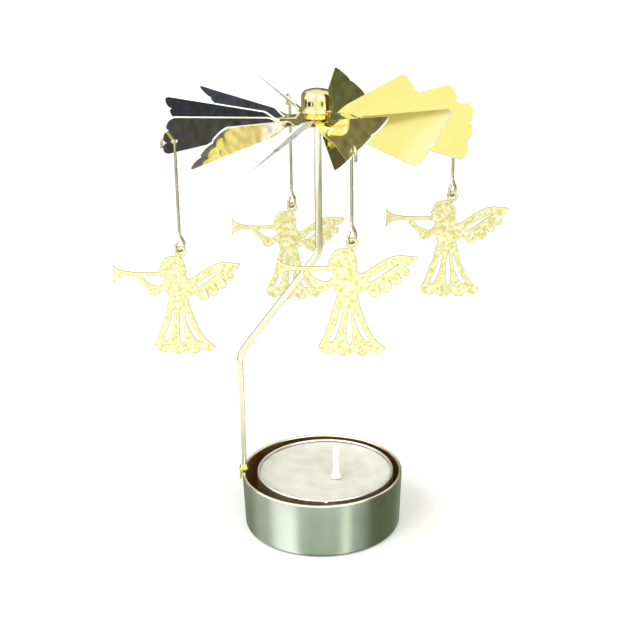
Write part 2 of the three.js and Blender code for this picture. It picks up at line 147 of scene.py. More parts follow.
cup_steel = metal(
    "cup_steel", ((0.38, 0.46, 0.36), (0.51, 0.58, 0.49)), (0.3, 0.42), (90, 90, 9000), 4e-6
)
brushed = cup_steel.node_tree.nodes["Principled BSDF"]
brushed.inputs["Anisotropic"].default_value = 0.85
brushed.inputs["Anisotropic Rotation"].default_value = 0.25
brushing = cup_steel.node_tree.nodes.new("ShaderNodeTangent")
brushing.direction_type = "RADIAL"
brushing.axis = "Z"
cup_steel.node_tree.links.new(brushing.outputs["Tangent"], brushed.inputs["Tangent"])
rim_gold = metal(
    "rim_gold", ((0.88, 0.81, 0.55), (0.99, 0.96, 0.80)), (0.16, 0.3), (700, 700, 2400), 3e-6
)
cup_bronze = metal(
    "cup_bronze", ((0.44, 0.26, 0.09), (0.80, 0.55, 0.22)), (0.28, 0.5), (150, 150, 3600), 8e-6
)

cup_shape = bmesh.new()
bead_centre, bead_level = cup_radius - bead_radius, cup_height - bead_radius
foot_centre = cup_radius - cup_taper - cup_foot_round
spin_outline(
    cup_shape,
    [(0, 0), (foot_centre - seat_inset, 0)]
    + arc(foot_centre, cup_foot_round, cup_foot_round, -90, 0)
    + [(cup_radius - share * cup_taper, wall_height) for wall_height, share in wall_tapers]
    + arc(bead_centre, bead_level, bead_radius, 0, bead_curl, 16)
    + [(cup_radius - cup_sheet, bead_level - bead_neck)]
    + arc(foot_centre, cup_foot_round, cup_foot_round - cup_sheet, 0, -90)
    + [(0, cup_sheet)],
)
for face in cup_shape.faces:
    middle = face.calc_center_median()
    outside = face.normal.xy.dot(middle.xy) > 0 or face.normal.z < downward
    within = middle.xy.length < cup_radius - cup_sheet / 2
    if middle.z > bead_level - gold_drop:
        face.material_index = 1
    elif not outside or (within and middle.z > bead_level - bronze_drop):
        face.material_index = 2
base_cup = make_piece("base_cup_pressed", cup_shape, [cup_steel, rim_gold, cup_bronze])
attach(base_cup, "base")
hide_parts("base_cup")


# Tealight cup. The candle's own cup, drawn from thin aluminium foil, with small pleats round its wall, a
# curled rim and one pinch in the rim at the front. It stands loose in the base cup, a little to one side.

candle_middle = (0.0009, 0.0)
candle_bottom, candle_top = 0.0008, 0.0158
candle_radius, foil_sheet, foil_rim, foil_foot = 0.019, 0.0003, 0.0004, 0.0012
foil_rings = (0.0043, 0.0085, 0.0125)
pleats, pleat_depth, pleat_low, pleat_high = 48, 0.00005, 0.0015, 0.0145
pinch_low, pinch_half, pinch_depth = 0.0146, 0.0005, 0.0005

foil = metal("foil", ((0.93, 0.93, 0.92), (1.0, 1.0, 0.99)), (0.24, 0.38), (500, 500, 1500), 8e-6)

foil_shape = bmesh.new()
spin_outline(
    foil_shape,
    [(0, candle_bottom)]
    + arc(candle_radius - foil_foot, candle_bottom + foil_foot, foil_foot, -90, 0)
    + [(candle_radius, ring_height) for ring_height in foil_rings]
    + arc(candle_radius - foil_rim, candle_top - foil_rim, foil_rim, 0, 180, 10)
    + [(candle_radius - foil_sheet, candle_top - 2 * foil_rim), (candle_radius - foil_sheet, foil_rings[1])]
    + arc(candle_radius - foil_foot, candle_bottom + foil_foot, foil_foot - foil_sheet, 0, -90)
    + [(0, candle_bottom + foil_sheet)],
    candle_middle,
    steps=384,
)
for vert in foil_shape.verts:
    x, y = vert.co.x - candle_middle[0], vert.co.y - candle_middle[1]
    reach, turn = math.hypot(x, y), math.atan2(y, x)
    if reach > candle_radius - foil_foot and pleat_low < vert.co.z < pleat_high:
        shift = 1 + pleat_depth * (math.cos(pleats * turn) - 1) / reach
        vert.co.x, vert.co.y = candle_middle[0] + x * shift, candle_middle[1] + y * shift
    beside = abs(turn + math.pi / 2) * candle_radius / pinch_half
    if vert.co.z > pinch_low and beside < 1:
        vert.co.z -= pinch_depth * (1 - beside * beside)
tealight_cup = make_piece("tealight_cup_foil", foil_shape, [foil])
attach(tealight_cup, "candle")
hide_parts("tealight_cup")


# Wax. Poured white paraffin that fills the foil cup. It climbs a little at the foil as it sets, and its
# face is not quite flat.

wax_radius, wax_bottom, wax_level = 0.01825, 0.0014, 0.0138
wax_foot_inset, wax_foot_rise, face_reach = 0.0009, 0.001, 0.0001
# The wax's climb at its edge, as inset and rise, and the rings that its face ripples on
wax_climb = [(0, 0.00125), (0.00012, 0.00138), (0.0003, 0.0013), (0.0006, 0.00102), (0.0011, 0.00064)]
wax_climb += [(0.0017, 0.00034), (0.0024, 0.00013), (0.0033, 0)]
face_rings = (0.014, 0.0128, 0.0115, 0.0102, 0.0089, 0.0076, 0.0063, 0.005, 0.0036, 0.002, 0)
ripple_height, ripple_cells = 0.00016, 230

paraffin = bpy.data.materials.new("paraffin")
paraffin.use_nodes = True
wax_nodes, wax_links = paraffin.node_tree.nodes, paraffin.node_tree.links
wax_shader = wax_nodes["Principled BSDF"]
wax_shader.inputs["Subsurface Weight"].default_value = 0.5
wax_shader.inputs["Subsurface Radius"].default_value = (1.0, 0.85, 0.6)
wax_shader.inputs["Subsurface Scale"].default_value = 0.0015
wax_place = wax_nodes.new("ShaderNodeTexCoord")
wax_cloud = noise_node(wax_nodes, 260.0, 5.0)
wax_tint = tint_node(wax_nodes, ((0.595, 0.585, 0.495), (0.715, 0.71, 0.65)), (0.3, 0.72))
wax_polish = wax_nodes.new("ShaderNodeMapRange")
wax_polish.inputs["To Min"].default_value = 0.34
wax_polish.inputs["To Max"].default_value = 0.56
wax_pores = noise_node(wax_nodes, 1400.0, 2.0)
wax_bump = wax_nodes.new("ShaderNodeBump")
wax_bump.inputs["Strength"].default_value = 0.6
wax_bump.inputs["Distance"].default_value = 2.5e-5
wax_links.new(wax_place.outputs["Object"], wax_cloud.inputs["Vector"])
wax_links.new(wax_place.outputs["Object"], wax_pores.inputs["Vector"])
wax_links.new(wax_cloud.outputs["Fac"], wax_tint.inputs["Fac"])
wax_links.new(wax_tint.outputs["Color"], wax_shader.inputs["Base Color"])
wax_links.new(wax_cloud.outputs["Fac"], wax_polish.inputs["Value"])
wax_links.new(wax_polish.outputs["Result"], wax_shader.inputs["Roughness"])
wax_links.new(wax_pores.outputs["Fac"], wax_bump.inputs["Height"])
wax_links.new(wax_bump.outputs["Normal"], wax_shader.inputs["Normal"])

wax_shape = bmesh.new()
spin_outline(
    wax_shape,
    [(0, wax_bottom), (wax_radius - wax_foot_inset, wax_bottom)]
    + [(wax_radius, wax_bottom + wax_foot_rise), (wax_radius, wax_level)]
    + [(wax_radius - inset, wax_level + rise) for inset, rise in wax_climb]
    + [(reach, wax_level) for reach in face_rings],
    candle_middle,
    steps=96,
)
for vert in wax_shape.verts:
    if vert.co.z > wax_level - face_reach:
        vert.co.z += ripple_height * noise.noise(Vector((vert.co.x, vert.co.y, 0.0)) * ripple_cells)
tealight_wax = make_piece("tealight_wax_poured", wax_shape, [paraffin])
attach(tealight_wax, "candle")
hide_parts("tealight_wax")


# Wick. Three plies of cotton twisted together and dipped in wax, which has run down into a flared foot on
# the face of the candle. It has not been lit.

wick_middle = Vector((0.0039, -0.0018, 0.0))
wick_top, wick_radius, root_radius, tip_radius = 0.0234, 0.00088, 0.0009, 0.00055
plies, ply_turn, ply_depth = 3, math.radians(13), 0.00009
flare_top, flare_height, flare_reach = 0.0168, 0.0032, 0.00115
lean_start, lean_height, lean_reach = 0.015, 0.008, 0.00012
wick_levels = [0.002, 0.0134, 0.01375, 0.0141, 0.0145, 0.01495, 0.0155, 0.0161, 0.0167, 0.0173]
wick_levels += [0.0179 + 0.00055 * i for i in range(10)] + [wick_top - 0.0002, wick_top]

cotton = bpy.data.materials.new("wick_cotton")
cotton.use_nodes = True
cotton_nodes, cotton_links = cotton.node_tree.nodes, cotton.node_tree.links
cotton_shader = cotton_nodes["Principled BSDF"]
cotton_shader.inputs["Roughness"].default_value = 0.7
cotton_shader.inputs["Sheen Weight"].default_value = 0.3
cotton_shader.inputs["Subsurface Weight"].default_value = 0.3
cotton_shader.inputs["Subsurface Scale"].default_value = 0.0006
cotton_place = cotton_nodes.new("ShaderNodeTexCoord")
cotton_stretch = cotton_nodes.new("ShaderNodeMapping")
cotton_stretch.inputs["Scale"].default_value = (6000, 6000, 900)
cotton_fibre = noise_node(cotton_nodes, 1.0, 2.0)
cotton_tint = tint_node(cotton_nodes, ((0.84, 0.82, 0.76), (0.97, 0.96, 0.93)), (0.3, 0.7))
cotton_bump = cotton_nodes.new("ShaderNodeBump")
cotton_bump.inputs["Distance"].default_value = 5e-5
cotton_links.new(cotton_place.outputs["Object"], cotton_stretch.inputs["Vector"])
cotton_links.new(cotton_stretch.outputs["Vector"], cotton_fibre.inputs["Vector"])
cotton_links.new(cotton_fibre.outputs["Fac"], cotton_tint.inputs["Fac"])
cotton_links.new(cotton_tint.outputs["Color"], cotton_shader.inputs["Base Color"])
cotton_links.new(cotton_fibre.outputs["Fac"], cotton_bump.inputs["Height"])
cotton_links.new(cotton_bump.outputs["Normal"], cotton_shader.inputs["Normal"])

wick_shape = bmesh.new()
ring = bmesh.ops.create_circle(wick_shape, cap_ends=True, radius=root_radius, segments=36)["verts"]
bmesh.ops.translate(wick_shape, verts=ring, vec=wick_middle + Vector((0, 0, wax_bottom)))
rim = list(wick_shape.edges)
for number, level in enumerate(wick_levels):
    made = bmesh.ops.extrude_edge_only(wick_shape, edges=rim)["geom"]
    rim = [part for part in made if isinstance(part, bmesh.types.BMEdge)]
    above_wax = level > wax_level
    flare = max(0.0, min(1.0, (flare_top - level) / flare_height))
    radius = wick_radius + (flare_reach * flare * flare if above_wax else 0.0)
    if level == wick_top:
        radius = tip_radius
    lean = lean_reach * max(0.0, level - lean_start) / lean_height
    for part in made:
        if isinstance(part, bmesh.types.BMVert):
            turn = math.atan2(part.co.y - wick_middle.y, part.co.x - wick_middle.x)
            swell = math.cos(plies * (turn - number * ply_turn))
            reach = radius + (ply_depth * (1 - flare) * swell if above_wax else 0.0)
            part.co.x = wick_middle.x + lean + reach * math.cos(turn)
            part.co.y = wick_middle.y + reach * math.sin(turn)
            part.co.z = level
bmesh.ops.edgeloop_fill(wick_shape, edges=rim)
bmesh.ops.recalc_face_normals(wick_shape, faces=wick_shape.faces)
wick = make_piece("wick_twisted", wick_shape, [cotton], sharp=60)
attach(wick, "candle")
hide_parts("wick")


# Wick sustainer. A small disc with a neck, stamped from tinplate, that holds the wick upright on the floor
# of the foil cup. The wax covers it.

foot_radius, foot_low, foot_high, stamp_round = 0.007, wax_bottom, 0.0017, 0.0001
neck_radius, neck_bore, neck_top = 0.0015, 0.0012, 0.0047

tinplate = metal("tinplate", ((0.62, 0.63, 0.64), (0.80, 0.80, 0.79)), (0.25, 0.42), (900, 900, 900), 5e-6)
sustainer_shape = bmesh.new()
spin_outline(
    sustainer_shape,
    [(0, foot_low), (foot_radius - stamp_round, foot_low), (foot_radius, foot_low + stamp_round)]
    + [(foot_radius - stamp_round, foot_high), (neck_radius + 3 * stamp_round, foot_high)]
    + [(neck_radius + stamp_round / 2, foot_high + 2 * stamp_round), (neck_radius, neck_top - stamp_round)]
    + [(neck_radius - stamp_round, neck_top), (neck_bore, neck_top), (neck_bore, foot_high + stamp_round)]
    + [(0, foot_high)],
    (wick_middle.x, wick_middle.y),
    steps=48,
)
sustainer = make_piece("wick_sustainer_stamped", sustainer_shape, [tinplate])
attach(sustainer, "candle")
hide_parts("wick_sustainer")


# Stem. One strip of bright brass, narrow below and wider above, with two bends. A folded tab at its foot
# clips over the cup's rim, and its top is drawn out to a needle that the hub turns on.

stem_thickness, lower_width, upper_width = 0.0012, 0.0016, 0.0019
clip_inner, clip_outer, clip_width = 0.02105, 0.02255, 0.0026
clip_bottom, clip_roof, clip_leg, clip_top = 0.0134, 0.0161, 0.0005, 0.0007
strip_lift, strip_bend, strip_edge, tab_bend, tab_edge = 0.0001, 0.0022, 0.00028, 0.0005, 0.00012
foot_x = -(clip_inner + clip_outer) / 2
lower_bend, upper_bend, strip_top, strip_tip = 0.0505, 0.0785, 0.1123, 0.00075
needle_top, needle_radius, needle_point = 0.1203, 0.0006, 0.00005
needle_root, needle_length, point_length = 0.0004, 0.0056, 0.0029
corner_reach = 1e-7

stem_brass = metal(
    "stem_brass", ((0.97, 0.94, 0.70), (1.0, 1.0, 0.90)), (0.16, 0.28), (2600, 2600, 260), 4e-6
)
tab_gold = metal(
    "tab_gold", ((0.90, 0.74, 0.22), (0.97, 0.86, 0.38)), (0.14, 0.26), (900, 900, 900), 4e-6
)


def upright_sheet(shape, corners, thickness, bends, bend_round, edge_round):
    """A flat outline in X and Z with its thickness along Y. The numbered corners are bends."""
    face = shape.faces.new([shape.verts.new((x, -thickness / 2, z)) for x, z in corners])
    made = bmesh.ops.extrude_face_region(shape, geom=[face])["geom"]
    far = [part for part in made if isinstance(part, bmesh.types.BMVert)]
    bmesh.ops.translate(shape, verts=far, vec=(0, thickness, 0))
    own = set(far) | set(face.verts)
    spots = [corners[i] for i in bends]
    across = [
        edge
        for edge in shape.edges
        if edge.verts[0] in own
        and abs(edge.verts[0].co.y - edge.verts[1].co.y) > thickness / 2
        and any(abs(edge.verts[0].co.x - x) + abs(edge.verts[0].co.z - z) < corner_reach for x, z in spots)
    ]
    bent = bmesh.ops.bevel(
        shape, geom=across, offset=bend_round, segments=8, profile=0.5, affect="EDGES", material=-1
    )
    own = {vert for vert in own if vert.is_valid} | set(bent["verts"])
    sides = [
        edge
        for edge in shape.edges
        if edge.verts[0] in own
        and edge.verts[1] in own
        and abs(edge.verts[0].co.y - edge.verts[1].co.y) < thickness / 2
    ]
    bmesh.ops.bevel(
        shape, geom=sides, offset=edge_round, segments=3, profile=0.5, affect="EDGES", material=-1
    )


stem_shape = bmesh.new()
miter = math.tan(math.atan2(-foot_x, upper_bend - lower_bend) / 2)
lower_shift, upper_shift = lower_width / 2 * miter, upper_width / 2 * miter
upright_sheet(
    stem_shape,
    [
        (foot_x - lower_width / 2, clip_roof + strip_lift),
        (foot_x + lower_width / 2, clip_roof + strip_lift),
        (foot_x + lower_width / 2, lower_bend - lower_shift),
        (upper_width / 2, upper_bend - upper_shift),
        (upper_width / 2, strip_top - upper_width / 2),
        (strip_tip, strip_top),
        (-strip_tip, strip_top),
        (-upper_width / 2, strip_top - upper_width / 2),
        (-upper_width / 2, upper_bend + upper_shift),
        (foot_x - lower_width / 2, lower_bend + lower_shift),
    ],
    stem_thickness,
    bends=(2, 3, 8, 9),
    bend_round=strip_bend,
    edge_round=strip_edge,
)
upright_sheet(
    stem_shape,
    [
        (-clip_outer - clip_leg, clip_bottom),
        (-clip_outer, clip_bottom),
        (-clip_outer, clip_roof),
        (-clip_inner, clip_roof),
        (-clip_inner, clip_bottom),
        (-clip_inner + clip_leg, clip_bottom),
        (-clip_inner + clip_leg, clip_roof + clip_top),
        (-clip_outer - clip_leg, clip_roof + clip_top),
    ],
    clip_width,
    bends=(6, 7),
    bend_round=tab_bend,
    edge_round=tab_edge,
)
for face in stem_shape.faces:
    if face.calc_center_median().z < clip_roof + clip_top + 2 * strip_lift:
        face.material_index = 1
for end_radius, length, centre in (
    (needle_radius, needle_length, strip_top - needle_root + needle_length / 2),
    (needle_point, point_length, needle_top - point_length / 2),
):
    bmesh.ops.create_cone(
        stem_shape,
        cap_ends=True,
        segments=24,
        radius1=needle_radius,
        radius2=end_radius,
        depth=length,
        matrix=Matrix.Translation((0, 0, centre)),
    )
bmesh.ops.recalc_face_normals(stem_shape, faces=stem_shape.faces)
stem = make_piece("stem_strip", stem_shape, [stem_brass, tab_gold], sharp=50)
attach(stem, "stem")
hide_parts("stem")


# Hub. A spun brass cap with a narrow brim, mirror polished, whose spigot is riveted through a collar and
# the wheel. Inside it a dimple sits on the needle's point.

collar_low, collar_high, collar_radius, collar_bore, collar_round = 0.1141, 0.1155, 0.0034, 0.0022, 0.0002
dome_low, dome_top, dome_radius, crown_rise = 0.1158, 0.1216, 0.004, 0.0003
shoulder_round, shoulder_turn = 0.0019, 78
lip_low, lip_high, spigot_radius, hub_bore = 0.1126, 0.1131, 0.0019, 0.0013
# Outline points of the brim, as radius and rise from the dome's foot, and of the crown, as radius and drop
brim = [(0.0041, 0), (0.0045, 0.00004), (0.00465, 0.0002), (0.00458, 0.00036), (0.0043, 0.00044)]
brim += [(0.0041, 0.00054), (0.00402, 0.0007), (dome_radius, 0.001), (dome_radius, 0.0024)]
crown = [(0.0018, 0.00016), (0.0012, 0.00007), (0.0006, 0.00002), (0, 0)]
dimple = [(0, 0.1206), (0.0007, 0.12), (hub_bore, 0.1193)]
riveted_lip = [(hub_bore, lip_low), (0.0026, lip_low), (0.0028, lip_low + 0.0002), (0.0027, lip_high)]

mirror_gold = metal(
    "mirror_gold", ((0.94, 0.79, 0.40), (0.97, 0.86, 0.50)), (0.03, 0.07), (420, 420, 420), 1.5e-6
)
collar_gold = metal(
    "collar_gold", ((0.92, 0.72, 0.27), (0.97, 0.83, 0.40)), (0.10, 0.22), (300, 300, 5000), 4e-6
)

dome_shape = bmesh.new()
shoulder = dome_top - crown_rise - shoulder_round
spin_outline(
    dome_shape,
    riveted_lip
    + [(spigot_radius, lip_high), (spigot_radius, dome_low)]
    + [(reach, dome_low + rise) for reach, rise in brim]
    + arc(dome_radius - shoulder_round, shoulder, shoulder_round, 0, shoulder_turn, 14)
    + [(reach, dome_top - drop) for reach, drop in crown]
    + dimple
    + riveted_lip[:1],
    steps=96,
)
hub_dome = make_piece("hub_dome_spun", dome_shape, [mirror_gold], sharp=50)
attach(hub_dome, "rotor")
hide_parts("hub_dome")

collar_shape = bmesh.new()
spin_outline(
    collar_shape,
    [(collar_bore, collar_low), (collar_radius - collar_round, collar_low)]
    + [(collar_radius, collar_low + collar_round), (collar_radius, collar_high - 1.5 * collar_round)]
    + [(collar_radius - 1.5 * collar_round, collar_high), (collar_bore, collar_high)]
    + [(collar_bore, collar_low)],
    steps=72,
)
hub_collar = make_piece("hub_collar_turned", collar_shape, [collar_gold])
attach(hub_collar, "rotor")
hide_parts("hub_collar")


# Wheel. One disc of thin mirror-bright brass sheet, slit from its rim into twelve blades that are each
# twisted at the root and bent a little up, down or sideways by hand. Four have a hole for a hanger.

wheel_height, wheel_sheet, wheel_radius = 0.1136, 0.0004, 0.0392
blade_count, first_blade = 12, math.radians(15.4)
blade_pitch, blade_half = math.radians(42), math.radians(12.8)
scallops, notch_depth, notch_power = 3, 0.001, 3.5
disc_radius, twist_length, hub_hole, seam_reach = 0.009, 0.0045, 0.0022, 1e-6
twist_steps, blade_rows = 14, 48
disc_stations, blade_stations = [0.003, 0.005, 0.007, disc_radius], [0.016, 0.021, 0.027, 0.033]
hanger_blades = {"left": 6, "back": 3, "front": 9, "right": 0}
hole_radius, hole_inset, hole_share, drill_depth = 0.0009, 0.003, -1 / 3, 0.004
burnish_width, burnish_angle = 0.00006, math.radians(50)
blade_lifts = [0, 0.0008, 0.0019, 0.0006, 0, 0.0003, -0.0016, -0.0012, 0.0007, 0.0013, 0.0005, -0.0016]
blade_swings = {1: math.radians(-2.7), 2: math.radians(-2.7), 7: math.radians(2.25)}

wheel_brass = metal(
    "wheel_brass", ((0.95, 0.86, 0.27), (0.97, 0.90, 0.35)), (0.02, 0.045), (160, 160, 160), 2e-6
)
# The sheet's cut edges are painted a pale, near-white colour with little metal in it: a painted highlight
# that stands for the bright line of light along each edge.
edge_highlight_brass = metal(
    "edge_highlight_brass", ((0.88, 0.86, 0.76), (0.98, 0.97, 0.92)), (0.3, 0.45), (900, 900, 900), 4e-6, metallic=0.35
)


def blade_reach(share):
    """How far out a blade goes, at a share of its half width from its centre line."""
    place = (share + 1) / 2 * scallops
    fall = abs(2 * (place - min(math.floor(place), scallops - 1)) - 1) ** notch_power
    return wheel_radius * math.cos(share * blade_half) - notch_depth * fall


def blade_point(number, along, share):
    """A point on the middle of a blade's sheet, with the blade along +X."""
    half = along * math.tan(blade_half if along > disc_radius + seam_reach else math.pi / blade_count)
    step = max(0.0, min(1.0, (along - disc_radius) / twist_length))
    bent = step * step * (3 - 2 * step)
    turn = blade_pitch * bent
    lift = blade_lifts[number] * max(0.0, along - disc_radius) / (wheel_radius - disc_radius)
    across, rise = share * half * math.cos(turn), share * half * math.sin(turn)
    flat = Vector((along, across, wheel_height + rise + lift))
    return Matrix.Rotation(blade_swings.get(number, 0.0) * bent, 3, "Z") @ flat


def blade_heading(number):
    """The way that a blade points, from above."""
    return first_blade + 2 * math.pi * number / blade_count


stations = disc_stations + [disc_radius + twist_length * i / twist_steps for i in range(1, twist_steps + 1)]
stations += blade_stations
columns = len(stations) + 1
wheel_shape = bmesh.new()
for number in range(blade_count):
    turned = Matrix.Rotation(blade_heading(number), 4, "Z")
    grid = bmesh.ops.create_grid(wheel_shape, x_segments=columns, y_segments=blade_rows, size=1.0)["verts"]
    for vert in grid:
        column, share = round((vert.co.x + 1) / 2 * columns), vert.co.y
        if column == 0:
            along = hub_hole / math.hypot(1, share * math.tan(math.pi / blade_count))
        elif column == columns:
            along = blade_reach(share)
        else:
            along = stations[column - 1]
        vert.co = turned @ blade_point(number, along, share)
bmesh.ops.remove_doubles(wheel_shape, verts=wheel_shape.verts, dist=seam_reach)
fan_wheel = make_piece("fan_wheel_sheet", wheel_shape, [wheel_brass, edge_highlight_brass])

drills = []
hanger_places = {}
for name, number in hanger_blades.items():
    turned = Matrix.Rotation(blade_heading(number), 4, "Z")
    hole_place = blade_point(number, wheel_radius - hole_inset, hole_share)
    hanger_places[name] = turned @ hole_place
    drill_shape = bmesh.new()
    bmesh.ops.create_cone(
        drill_shape,
        cap_ends=True,
        segments=32,
        radius1=hole_radius,
        radius2=hole_radius,
        depth=drill_depth,
        matrix=turned @ Matrix.Translation(hole_place) @ Matrix.Rotation(blade_pitch, 4, "X"),
    )
    drills.append(make_piece("drill_" + name, drill_shape, []))
thicken = fan_wheel.modifiers.new("sheet", "SOLIDIFY")
thicken.thickness = wheel_sheet
thicken.offset = 0.0
thicken.use_even_offset = True
# The sheet's rim faces take the painted edge highlight.
thicken.material_offset_rim = 1
for drill in drills:
    hole = fan_wheel.modifiers.new("hole", "BOOLEAN")
    hole.operation = "DIFFERENCE"
    hole.solver = "EXACT"
    hole.object = drill
burnish = fan_wheel.modifiers.new("burnish", "BEVEL")
burnish.width = burnish_width
burnish.segments = 2
burnish.limit_method = "ANGLE"
burnish.angle_limit = burnish_angle
burnish.harden_normals = True
finished = fan_wheel.evaluated_get(bpy.context.evaluated_depsgraph_get())
fan_wheel.data = bpy.data.meshes.new_from_object(finished)
fan_wheel.modifiers.clear()
for drill in drills:
    bpy.data.objects.remove(drill)
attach(fan_wheel, "rotor")
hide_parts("fan_wheel")


# Hangers. Four lengths of bright drawn brass wire, two long and two short. Each has a hook through its
# blade's hole and over the blade's edge, and a small open ring at its lower end.

wire_radius, hook_radius, hook_sink, hook_tail, ring_radius = 0.00035, 0.0016, 0.0001, 0.0015, 0.0016
ring_turn, ring_drop, wire_join = math.radians(55), 0.00015, 1e-7
eye_levels = {"left": 0.0817, "back": 0.0817, "front": 0.0914, "right": 0.0914}
hook_turns, ring_turns = range(0, 181, 45), [*range(50, -221, -30), -240]

wire_brass = metal(
    "wire_brass", ((0.62, 0.55, 0.30), (0.88, 0.83, 0.60)), (0.2, 0.34), (2200, 2200, 300), 5e-6
)


def curve_mesh(curve):
    """The mesh that a curve makes."""
    drawn = bpy.data.objects.new(curve.name, curve)
    bpy.context.scene.collection.objects.link(drawn)
    mesh = bpy.data.meshes.new_from_object(drawn.evaluated_get(bpy.context.evaluated_depsgraph_get()))
    bpy.data.objects.remove(drawn)
    return mesh


ringward = Vector((math.cos(ring_turn), math.sin(ring_turn), 0))
for name, place in hanger_places.items():
    heading = blade_heading(hanger_blades[name])
    outward = Vector((math.cos(heading), math.sin(heading), 0))
    ring_centre = ring_radius + eye_levels[name] - place.z + ring_drop
    route = [outward * 2 * hook_radius + Vector((0, 0, -hook_tail * k - hook_sink)) for k in (1.0, 0.5)]
    for degrees in hook_turns:
        turn = math.radians(degrees)
        out, up = hook_radius * (1 + math.cos(turn)), hook_radius * math.sin(turn) - hook_sink
        route.append(outward * out + Vector((0, 0, up)))
    route.append(Vector((0, 0, -hook_radius - hook_sink)))
    route.append(Vector((0, 0, ring_centre + 3 * ring_radius)))
    route.append(Vector((0, 0, ring_centre + 2 * ring_radius)))
    for degrees in ring_turns:
        turn = math.radians(degrees)
        height = ring_centre + ring_radius * math.sin(turn)
        route.append(ringward * ring_radius * math.cos(turn) + Vector((0, 0, height)))
    wire = bpy.data.curves.new("wire_" + name, "CURVE")
    wire.dimensions = "3D"
    wire.bevel_depth = wire_radius
    wire.bevel_resolution = 4
    wire.resolution_u = 6
    wire.use_fill_caps = True
    bend = wire.splines.new("BEZIER")
    bend.bezier_points.add(len(route) - 1)
    for knot, spot in zip(bend.bezier_points, route):
        knot.co = spot + place
        knot.handle_left_type = knot.handle_right_type = "AUTO"
    hanger_shape = bmesh.new()
    hanger_shape.from_mesh(curve_mesh(wire))
    bmesh.ops.remove_doubles(hanger_shape, verts=hanger_shape.verts, dist=wire_join)
    bmesh.ops.recalc_face_normals(hanger_shape, faces=hanger_shape.faces)
    hanger = make_piece("hanger_" + name + "_wire", hanger_shape, [wire_brass], sharp=60)
    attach(hanger, "hanger_" + name)
    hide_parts("hanger_" + name)


# Figures. Four alike angels, each blowing a long trumpet, etched from brass sheet: the field is bitten to
# a bright speckle and a plain border stays along every edge. Each hangs by the eye on its crown.

figure_width, figure_height, figure_sheet = 0.033, 0.028, 0.0004
eye_share, eye_radius, eye_hole, neck_turn = 0.04, 0.0015, 0.0008, -85
border, bite, edge_round, flat_share = 0.0004, 0.000006, 0.0001, 0.95
# Corners too sharp for the border to run round, and how far each one's field is drawn back
sharp_knots = {10: 0.0008, 14: 0.0008, 18: 0.0008, 22: 0.0008, 57: 0.0016, 59: 0.0012}
# The angel as shares of its width and height from the eye. Each stretch between two corners is one curve
outline_shares = [
    [(0.03, -0.04), (0.058, -0.09), (0.076, -0.155), (0.073, -0.215), (0.088, -0.262)],
    [(0.088, -0.262), (0.13, -0.25), (0.235, -0.165), (0.35, -0.108), (0.5, -0.122)],
    [(0.5, -0.122), (0.473, -0.175), (0.412, -0.204)],
    [(0.412, -0.204), (0.447, -0.234), (0.436, -0.28), (0.398, -0.285), (0.36, -0.265)],
    [(0.36, -0.265), (0.391, -0.308), (0.373, -0.357), (0.333, -0.354), (0.3, -0.322)],
    [(0.3, -0.322), (0.324, -0.379), (0.3, -0.429), (0.26, -0.418), (0.23, -0.375)],
    [(0.23, -0.375), (0.245, -0.436), (0.215, -0.475), (0.172, -0.454), (0.139, -0.4)],
    [(0.139, -0.4), (0.079, -0.443)],
    [(0.079, -0.443), (0.1, -0.554), (0.139, -0.696), (0.2, -0.84), (0.279, -0.929)],
    [(0.279, -0.929), (0.242, -0.979), (0.17, -0.95)],
    [(0.17, -0.95), (0.133, -0.996), (0.067, -0.986), (0.048, -0.957)],
    [(0.048, -0.957), (0, -1), (-0.067, -0.982), (-0.085, -0.95)],
    [(-0.085, -0.95), (-0.127, -0.979), (-0.188, -0.95), (-0.206, -0.907)],
    [(-0.206, -0.907), (-0.164, -0.804), (-0.121, -0.661), (-0.091, -0.536), (-0.07, -0.45)],
    [(-0.07, -0.45), (-0.088, -0.386), (-0.106, -0.364)],
    [(-0.106, -0.364), (-0.158, -0.414), (-0.212, -0.407), (-0.236, -0.343), (-0.285, -0.286)],
    [(-0.285, -0.286), (-0.305, -0.254), (-0.297, -0.232)],
    [(-0.297, -0.232), (-0.394, -0.225), (-0.461, -0.25), (-0.495, -0.296)],
    [(-0.495, -0.296), (-0.485, -0.207), (-0.491, -0.114)],
    [(-0.491, -0.114), (-0.442, -0.161), (-0.348, -0.186), (-0.227, -0.193), (-0.13, -0.189)],
    [(-0.13, -0.189), (-0.118, -0.175), (-0.132, -0.155)],
    [(-0.132, -0.155), (-0.114, -0.128), (-0.109, -0.104), (-0.079, -0.057), (-0.03, -0.04)],
]
cutout_shares = [
    [(-0.135, -0.229), (-0.26, -0.234), (-0.225, -0.289), (-0.152, -0.325), (-0.106, -0.3)]
    + [(-0.098, -0.255)],
    [(-0.045, -0.56), (-0.075, -0.7), (-0.125, -0.85), (-0.098, -0.86), (-0.055, -0.74), (-0.033, -0.6)],
    [(0.018, -0.54), (0.035, -0.7), (0.036, -0.87), (0.006, -0.87), (0.002, -0.7)],
    [(0.062, -0.58), (0.1, -0.72), (0.16, -0.855), (0.13, -0.862), (0.078, -0.74), (0.052, -0.63)],
    [(0.15, -0.31), (0.26, -0.232), (0.37, -0.18), (0.3, -0.235), (0.17, -0.34)],
]

edge_gold = metal(
    "edge_gold", ((0.82, 0.77, 0.33), (0.89, 0.85, 0.45)), (0.22, 0.34), (900, 900, 900), 4e-6, metallic=0.3
)
etched_gold = metal(
    "etched_gold",
    ((0.64, 0.57, 0.18), (0.90, 0.89, 0.62)),
    (0.32, 0.58),
    (1700, 1700, 1700),
    3e-5,
    clouds=900,
    stops=(0.42, 0.6),
    metallic=0.2,
)
